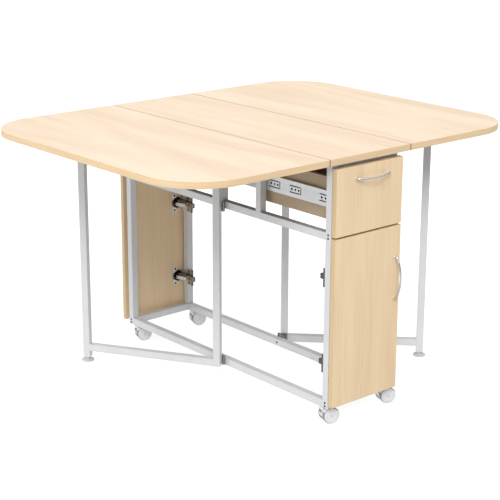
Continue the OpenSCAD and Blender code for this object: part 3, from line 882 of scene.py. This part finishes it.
outer = cut(
    slide_channel(SLIDE_START, SLIDE_END, (SLIDE_HIGH.z - SLIDE_LOW.z) / 2, 10.0, 3.4),
    slide_windows(),
).at(0, INNER_Y, SLIDE_MID)
end_stop = block((SLIDE_END - 7, -6, -6), (SLIDE_END - 2.5, -SHEET, 6), 1.0, 0.3)
outer = both_ends(both_sides(outer + end_stop.at(0, INNER_Y, SLIDE_MID)))
piece("slide_outer_channels", outer, "frame", "zinc", [ZINC], "slide_outer")

BALL_R, BALLS, BALL_PITCH = 0.86, 24, 6
turns = [math.pi * k / 6 for k in range(7)]
ball = lathe([(BALL_R * math.sin(a), -BALL_R * math.cos(a)) for a in turns], 8)
middle_low, middle_high = box("slide_right_middle")
middle_half = (middle_high.z - middle_low.z) / 2
middle = slide_channel(middle_low.x, middle_high.x, middle_half, 5.2, 2.4)
cage = block((3, -4.4, -0.25), (153, -0.6, 0.25), 0.5, 0.1, 1, 1).at(middle_low.x, 0, 0)
for s in (-1, 1):
    for k in range(BALLS):
        middle += ball.at(middle_low.x + 8 + k * BALL_PITCH, -2.4, s * (middle_half + 0.45))
    middle += cage.at(0, 0, s * (middle_half + 0.35))
middle = middle.at(0, middle_high.y - 2.8, SLIDE_MID)
runner_half = (RUNNER_HIGH.z - RUNNER_LOW.z) / 2
depth = RUNNER_HIGH.y - DRAWER_Y
runner = slide_channel(RUNNER_LOW.x, RUNNER_HIGH.x, runner_half, depth, 2.6)
runner = runner.mirrored((0, 1, 0))
for x in (35.0, 105.0, 200.0, 255.0):
    runner += PLATE_SCREW.by(facing((RUNNER_LOW.x + x, SHEET, 0), (0, 1, 0)))
runner = runner.at(0, DRAWER_Y, SLIDE_MID)

HANDLE_LOW, HANDLE_HIGH = box("door_right_handle")
PANEL_LOW, PANEL_HIGH = box("door_right")
HANDLE_BAR, HANDLE_LEG = 3.0, 6.5
HANDLE_SPAN = HANDLE_HIGH.z - HANDLE_LOW.z - 8.0


def bow_handle():
    """Slim bow across Y, on two legs that stand on the plane x = 0."""
    half = HANDLE_SPAN / 2
    rise = HANDLE_HIGH.x - HANDLE_LOW.x - HANDLE_BAR - HANDLE_LEG
    bow = (half**2 + rise**2) / (2 * rise)
    sweep = math.asin(half / bow)
    arc = []
    for k in range(33):
        a = 0.965 * sweep * (2 * k / 32 - 1)
        arc.append((HANDLE_LEG + rise - bow + bow * math.cos(a), bow * math.sin(a)))
    foot = [(0.0, -half), (2.4, -half), (4.6, -half + 0.15), (6.2, -half + 0.8)]
    line = [Vector(p) for p in foot + arc + [(x, -y) for x, y in reversed(foot)]]
    rings = []
    for k, centre in enumerate(line):
        along = (line[min(k + 1, len(line) - 1)] - line[max(k - 1, 0)]).normalized()
        end = min(k, len(line) - 1 - k)
        size = HANDLE_BAR + max(0.0, 0.7 - 0.12 * end)
        across = Vector((along.y, -along.x, 0))
        rings.append(
            [
                Vector((centre.x, centre.y, 0))
                + across * (size * math.cos(math.tau * i / 20))
                + Vector((0, 0, size * math.sin(math.tau * i / 20)))
                for i in range(20)
            ]
        )
    made = loft(rings)
    collar = lathe([(0, 0), (4.6, 0), (4.6, 0.6), (4.2, 1.1), (3.6, 1.4), (0, 1.4)], 28)
    for s in (-1, 1):
        made += collar.turned(90, "Y").at(0, s * half, 0)
    return made


def panel(low, high):
    """Front panel in the YZ plane with banded edges."""
    outline = rectangle(low.y, low.z, high.y, high.z, 0.8, 2)
    made = board(outline, low.x, high.x, 0.8)
    return made.by(Matrix(((0, 0, 1, 0), (1, 0, 0, 0), (0, 1, 0, 0), (0, 0, 0, 1))))


for side, turn in (("right", Matrix.Identity(4)), ("left", HALF_TURN)):
    body = f"drawer_{side}"
    low, high = box("drawer_right_front")
    handle_low, handle_high = box("drawer_right_handle")
    handle_z = (handle_low.z + handle_high.z) / 2
    handle_y = (handle_low.y + handle_high.y) / 2
    handle = bow_handle().at(high.x, handle_y, handle_z)
    fixings = total(
        PLATE_SCREW.by(facing((low.x - 12, handle_y + y, handle_z), (-1, 0, 0)))
        for y in (-HANDLE_SPAN / 2, HANDLE_SPAN / 2)
    )
    piece(
        f"{body}_front_panel", panel(low, high).by(turn),
        body, "front_board", [FRONT_WOOD, FRONT_EDGE], f"{body}_front",
    )
    piece(
        f"{body}_bow_handle", handle.by(turn),
        body, "handle_chrome", [SATIN], f"{body}_handle",
    )
    piece(f"{body}_handle_screws", fixings.by(turn), body, "zinc", [ZINC])
    for node in ("sides", "ends", "bottom"):
        keep(f"{body}_{node}", BOX_WOOD, 0.5)
    piece(
        f"{body}_runner_channels", both_sides(runner).by(turn),
        body, "zinc", [ZINC], f"{body}_runners",
    )
    # middle members, balls and cages are near-black: painted shade
    piece(
        f"slide_{side}_middle_channels", both_sides(middle).by(turn),
        f"slide_{side}", "zinc", [SHADED_SLIDE_STEEL], f"slide_{side}_middle",
    )


# ----------------------------------------------------------------- the doors

CUPS_LOW, CUPS_HIGH = box("door_right_cups")
CUP_R, CUP_DEPTH, FLANGE = 17.5, 11.0, 1.5
CUP_Y = (CUPS_LOW.y + CUPS_HIGH.y) / 2
CUP_Z = [CUPS_LOW.z + 30, CUPS_HIGH.z - 30]


def hinge_cup():
    """Cup let into a door whose inner face is the plane x = 0."""
    # the bowl takes the first, near-black material: painted shade and painted dark reflection
    bowl = lathe(
        [
            (0, CUP_DEPTH), (CUP_R - 2.5, CUP_DEPTH), (CUP_R - 0.7, CUP_DEPTH - 0.6),
            (CUP_R - 0.1, CUP_DEPTH - 2.2), (CUP_R - 0.1, 0), (CUP_R + 1.8, 0),
            (CUP_R + 2, -0.4), (CUP_R + 1.8, -1.1), (CUP_R + 0.8, -FLANGE),
            (CUP_R - 1.8, -FLANGE), (CUP_R - 2.6, -0.7), (CUP_R - 2.8, 1.5),
            (CUP_R - 3.2, CUP_DEPTH - 3), (CUP_R - 5, CUP_DEPTH - 1.4), (0, CUP_DEPTH - 1.2),
        ],
        40,
    )
    # the ears are painted near-white: painted highlight
    ears = slab(rectangle(-30, 3, 30, 16, 4.5, 5), -FLANGE, 0, 0.35).painted(1)
    hole = lathe([(0, -3), (CUP_R - 1.5, -3), (CUP_R - 1.5, 3), (0, 3)], 40)
    made = bowl + cut(ears, hole)
    for z in (-24, 24):
        made += HINGE_SCREW.turned(25).mirrored((0, 0, 1)).at(z, 9.5, -FLANGE)
    return made.by(Matrix(((0, 0, 1, 0), (0, 1, 0, 0), (-1, 0, 0, 0), (0, 0, 0, 1))))


def door():
    cutters = Shape()
    for z in CUP_Z:
        bore = lathe([(0, -1), (CUP_R, -1), (CUP_R, CUP_DEPTH), (0, CUP_DEPTH)], 40)
        cutters += bore.turned(90, "Y").at(PANEL_LOW.x, CUP_Y, z)
    return carved(panel(PANEL_LOW, PANEL_HIGH), cutters)


# the same sizes as in the CAD, whose two ends share one node's box
BRACKET_X, BRACKET_T, ARM_X = 407.0, 2.0, 388.0
PLATE, OUTER_REFLECTION, LOWER_HIGHLIGHT = 1, 2, 3


def hinge_arm():
    """Mounting plate and cranked arm on the post's bracket, about z = 0."""
    y0, front, wall = -INNER_Y + BRACKET_T, PANEL_LOW.x, 15.0
    plate = slab(
        rounded(
            [
                (BRACKET_X + 2, -25), (BRACKET_X + 24, -25), (BRACKET_X + 24, -10),
                (BRACKET_X + 22, -8), (BRACKET_X + 22, 8), (BRACKET_X + 24, 10),
                (BRACKET_X + 24, 25), (BRACKET_X + 2, 25), (BRACKET_X + 2, 10),
                (BRACKET_X + 4, 8), (BRACKET_X + 4, -8), (BRACKET_X + 2, -10),
            ],
            [4, 4, 1, 1, 1, 1, 4, 4, 1, 1, 1, 1],
            3,
        ),
        0, 3, 0.5,
    ).by(Matrix(((1, 0, 0, 0), (0, 0, 1, y0), (0, 1, 0, 0), (0, 0, 0, 1))))
    bend = front - 34
    arm = slab(
        rounded(
            [
                (ARM_X, y0 + 3), (front - 18, y0 + 3), (front - 14, y0 + 7),
                (front - 18, y0 + 13), (ARM_X, y0 + 11),
            ],
            [1, 4, 3, 5, 2],
            5,
        ),
        -wall / 2, wall / 2, 1.0, 3,
    )
    outline = rounded(
        [
            (bend, y0 + 4), (front - 8, y0 + 4), (front - 4, CUP_Y - 9),
            (front + 4.5, CUP_Y - 7), (front + 4.5, CUP_Y + 5), (front - 9, CUP_Y + 2),
            (bend, y0 + 13.4),
        ],
        [1, 4, 3, 1.5, 3, 5, 1],
        5,
    )
    # the arm's outer side faces take the lighter nickel: painted reflection
    for index, face in enumerate(arm.faces):
        a, b, c = (arm.points[i] for i in face[:3])
        if abs((b - a).cross(c - b).normalized().y) > 0.6 and (a.y + b.y + c.y) / 3 > y0 + 8:
            arm.paint[index] = OUTER_REFLECTION
    # upper half of the crank near-black, painted dark reflection; lower half near-white, painted
    # highlight
    arm += slab(outline, 0.6, wall / 2 + 3.5, 0.8, 3)
    arm += slab(outline, -wall / 2 - 3, 1.2, 0.8, 3).painted(LOWER_HIGHLIGHT)
    # the lip and the screws are near-black too: painted dark reflection
    lip_low, lip_high = (BRACKET_X - 1.8, y0 - 2.7, -26.5), (BRACKET_X + 4.5, y0 + 2.4, 26.5)
    made = plate.painted(PLATE) + arm + block(lip_low, lip_high, 0.4, 0.3, 1, 1)
    for z in (-19, 19):
        made += HINGE_SCREW.turned(15).by(facing((BRACKET_X + 13, y0 + 3, z), (0, 1, 0)))
    slope = Vector((2.0, -(front - 18 - ARM_X), 0)).normalized()
    for x in (18, 36):
        lift = y0 + 11 + 2.0 * x / (front - 18 - ARM_X)
        made += HINGE_SCREW.by(facing((ARM_X + x, lift - 0.15, 0), -slope))
    return made


arms = total(hinge_arm().at(0, 0, z) for z in CUP_Z)
piece(
    "door_hinge_arm_pairs", both_ends(arms),
    "frame", "nickel", [NICKEL_PAINTED_DARK, ZINC, ARM_SIDE_REFLECTION, HINGE_HIGHLIGHT], "door_hinge_arms",
)
bracket_screws = total(
    FRAME_SCREW.by(facing((POST_X, -INNER_Y + BRACKET_T, z + s), (0, 1, 0)))
    for z in CUP_Z
    for s in (-18, 18)
)
piece("hinge_bracket_screws", both_ends(bracket_screws), "frame", "zinc", [ZINC])
keep("door_hinge_brackets", STEEL, 0.4)

cups = total(hinge_cup().at(PANEL_LOW.x, CUP_Y, z) for z in CUP_Z)
door_shape = door()
door_handle = (
    bow_handle()
    .turned(90, "X")
    .at(PANEL_HIGH.x, (HANDLE_LOW.y + HANDLE_HIGH.y) / 2, (HANDLE_LOW.z + HANDLE_HIGH.z) / 2)
)
# the left door stands a little open: the range of its joint says how far
closing = math.radians(JOINTS["door_left_hinge"]["range_deg"][0])
hinge_line = joint_place("door_left_hinge")
hinge_line.z = 0
ajar = (
    Matrix.Translation(hinge_line)
    @ Matrix.Rotation(closing, 4, "Z")
    @ Matrix.Translation(-hinge_line)
)
for side, turn in (("right", Matrix.Identity(4)), ("left", ajar @ HALF_TURN)):
    body = f"door_{side}"
    piece(
        f"{body}_panel", door_shape.by(turn),
        body, "front_board", [FRONT_WOOD, FRONT_EDGE, CORE], body,
    )
    piece(f"{body}_hinge_cups", cups.by(turn), body, "nickel", [NICKEL_PAINTED_DARK, HINGE_HIGHLIGHT], f"{body}_cups")
    piece(
        f"{body}_bow_handle", door_handle.by(turn),
        body, "handle_chrome", [SATIN], f"{body}_handle",
    )


# --------------------------------------------------------------- the casters

WHEEL_R, WHEEL_T, AXLE_R = 23.0, 11.5, 3.0
HUB, HOOD = 42.0 / 2, 17.8 / 2
GAP = 0.9
AROUND = 56


def caster_wheels():
    """Twin wheels on the axis Z, both made from one turned half."""
    inner = HUB - WHEEL_T
    half = lathe(
        [
            (3.05, inner), (6.5, inner), (7, inner + 1.2), (17.5, inner + 1.2), (18.4, inner),
            (WHEEL_R - 1.2, inner), (WHEEL_R - 0.3, inner + 0.4), (WHEEL_R, inner + 1.4),
            (WHEEL_R, HUB - 3.4), (WHEEL_R - 0.4, HUB - 2.3), (WHEEL_R - 1.4, HUB - 1.5),
            (WHEEL_R - 3.0, HUB - 1.05), (17.2, HUB - 0.75), (16.7, HUB - 1.5), (15.9, HUB - 1.5),
            (15.4, HUB - 0.65), (8.4, HUB - 0.3), (7.8, HUB - 0.9), (7.1, HUB - 0.9),
            (6.6, HUB - 0.2), (3.05, HUB),
        ],
        AROUND,
        wrap=True,
    )
    for index in range(len(half.faces)):
        if 5 <= index // AROUND <= 9:
            half.paint[index] = 1
    axle = rod(AXLE_R, 2 * HUB - 1.2, ease=0.6, n=20).at(0, 0, 0.6 - HUB)
    return half + half.mirrored((0, 0, 1)) + axle.painted(2)


def caster_hood(trail):
    """Swivel body about the wheels' axis: web between the wheels and fenders."""

    def polar(radius, angles):
        turns = [math.radians(a) for a in angles]
        return [(radius * math.cos(a), radius * math.sin(a)) for a in turns]

    outer = WHEEL_R - 2
    arc = polar(outer, range(-20, 201, 10))
    web = arc[:-2] + [(-trail - 7.4, 10), (-trail - 7.4, -1.5), (-outer + 2, -6.5)]
    web = rounded([p for p in web if p[1] > -8], 0.6, 2)
    made = slab(web, -HOOD, HOOD, 1.0, 2)
    made = cut(made, lathe([(0, -20), (3.05, -20), (3.05, 20), (0, 20)], 24))
    shell = ribbon(polar(WHEEL_R + GAP, range(30, 151, 6)), 1.1)
    return made + slab(shell, -HUB + 1.2, HUB - 1.2, 0.35, 2)


wheels = caster_wheels()
for a, sy in (("front", -1), ("back", 1)):
    for b, sx in (("right", 1), ("left", -1)):
        swivel = joint_place(f"caster_{a}_{b}_swivel")
        axle = joint_place(f"wheels_{a}_{b}_spin")
        away = (axle - swivel).to_2d()
        heading = math.atan2(away.y, away.x)
        place = (
            Matrix.Translation((axle.x, axle.y, axle.z))
            @ Matrix.Rotation(heading, 4, "Z")
            @ Matrix.Rotation(math.pi / 2, 4, "X")
        )
        hood = caster_hood(away.length).by(place)
        top = box(f"caster_{a}_{b}")[1].z
        neck_z, neck_top = axle.z + 17, LOWER_Z - 0.9
        neck = lathe(
            [
                (0, neck_z), (HOOD - 0.6, neck_z), (HOOD - 0.1, neck_z + 1),
                (HOOD - 0.1, neck_top - 0.9), (HOOD - 0.9, neck_top), (0, neck_top),
            ],
            32,
        )
        foot = LOWER_Z - 2
        stem = lathe([(0, foot), (5, foot), (5, top - 0.8), (4.2, top), (0, top)], 24)
        piece(
            f"caster_{a}_{b}_hood",
            hood + (neck + stem.painted(1)).at(swivel.x, swivel.y, 0),
            f"caster_{a}_{b}", "caster_white", [CASTER, ZINC], f"caster_{a}_{b}",
        )
        piece(
            f"wheels_{a}_{b}_pair", wheels.by(place),
            f"wheels_{a}_{b}", "caster_white", [CASTER, TREAD, ZINC], f"wheels_{a}_{b}",
        )


# -------------------------------------------------- floor, light and camera

FLOOR_REACH = 120.0
floor_mesh = bpy.data.meshes.new("floor")
floor_mesh.from_pydata(
    [(x * FLOOR_REACH, y * FLOOR_REACH, 0) for x, y in ((-1, -1), (1, -1), (1, 1), (-1, 1))],
    [],
    [(0, 1, 2, 3)],
)
floor = bpy.data.objects.new("floor", floor_mesh)
bpy.context.scene.collection.objects.link(floor)
ground = Nodes("floor_white")
pale = ground.add("BsdfDiffuse", {"Color": rgb(0.42, 0.42, 0.42)})
glow = ground.add("Emission", {"Color": rgb(1, 1, 1), "Strength": 0.80})
ground.add_output(ground.add("AddShader", {0: pale, 1: glow}))
floor_mesh.materials.append(ground.material)
# the floor lights nothing: the sky below does, by direction
floor.visible_diffuse = False
floor.visible_glossy = False

# level of the sky against height, from straight down (0) to straight up (1)
SKY = ((0.0, 0.40), (0.42, 0.36), (0.50, 0.22), (0.62, 0.26), (0.80, 0.85), (1.0, 1.0))
world = bpy.data.worlds.new("studio")
bpy.context.scene.world = world
world.use_nodes = True
sky = world.node_tree
direction = sky.nodes.new("ShaderNodeTexCoord")
split = sky.nodes.new("ShaderNodeSeparateXYZ")
shade = sky.nodes.new("ShaderNodeValToRGB")
remap = sky.nodes.new("ShaderNodeMapRange")
remap.inputs["From Min"].default_value = -1.0
sky.links.new(direction.outputs["Generated"], split.inputs[0])
sky.links.new(split.outputs["Z"], remap.inputs["Value"])
sky.links.new(remap.outputs["Result"], shade.inputs["Fac"])
sky.links.new(shade.outputs["Color"], sky.nodes["Background"].inputs["Color"])
sky.nodes["Background"].inputs["Strength"].default_value = 1.0
ramp = shade.color_ramp.elements
for place, level in SKY:
    stop = ramp.new(place) if 0 < place < 1 else ramp[round(place)]
    stop.color = rgb(level, level, level)
# the backdrop above the floor's edge is white
paper = sky.nodes.new("ShaderNodeBackground")
paper.inputs["Color"].default_value = rgb(1, 1, 1)
seen = sky.nodes.new("ShaderNodeMixShader")
sky.links.new(sky.nodes.new("ShaderNodeLightPath").outputs["Is Camera Ray"], seen.inputs[0])
sky.links.new(sky.nodes["Background"].outputs[0], seen.inputs[1])
sky.links.new(paper.outputs[0], seen.inputs[2])
sky.links.new(seen.outputs[0], sky.nodes["World Output"].inputs["Surface"])


def softbox(name, place, aim, size, power):
    """Square area light: places and size in metres, power in watts."""
    light = bpy.data.lights.new(name, "AREA")
    light.shape, light.size, light.energy = "SQUARE", size, power
    made = bpy.data.objects.new(name, light)
    bpy.context.scene.collection.objects.link(made)
    made.location = place
    made.rotation_mode = "QUATERNION"
    made.rotation_quaternion = (Vector(aim) - Vector(place)).to_track_quat("-Z", "Y")


softbox("key", (7.2, -5.44, 7.76), (0, 0, 0.4), 4.8, 671)
softbox("side", (-2.5, -7.4, 1.6), (0, 0, 0.3), 4.1, 172)
softbox("overhead", (-1.0, 0.5, 4.2), (-0.2, 0.1, 0), 3.0, 29)

AZIMUTH, ELEVATION, ROLL = (math.radians(a) for a in (49.225, 16.819, 0.225))
FOCAL_LENGTH, VIEWPOINT = 103.11, (3.03325, -2.62496, 1.58477)
back = Vector(
    (
        math.sin(AZIMUTH) * math.cos(ELEVATION),
        -math.cos(AZIMUTH) * math.cos(ELEVATION),
        math.sin(ELEVATION),
    )
)
level = Vector((math.cos(AZIMUTH), math.sin(AZIMUTH), 0))
up = back.cross(level)
right = level * math.cos(ROLL) + up * math.sin(ROLL)
up = up * math.cos(ROLL) - level * math.sin(ROLL)
lens = bpy.data.cameras.new("camera")
lens.lens, lens.sensor_width, lens.clip_end = FOCAL_LENGTH, 36.0, 200.0
camera = bpy.data.objects.new("camera", lens)
bpy.context.scene.collection.objects.link(camera)
turn = Matrix((right, up, back)).transposed().to_4x4()
camera.matrix_world = Matrix.Translation(VIEWPOINT) @ turn
bpy.context.scene.camera = camera
bpy.context.scene.view_settings.view_transform = "Standard"
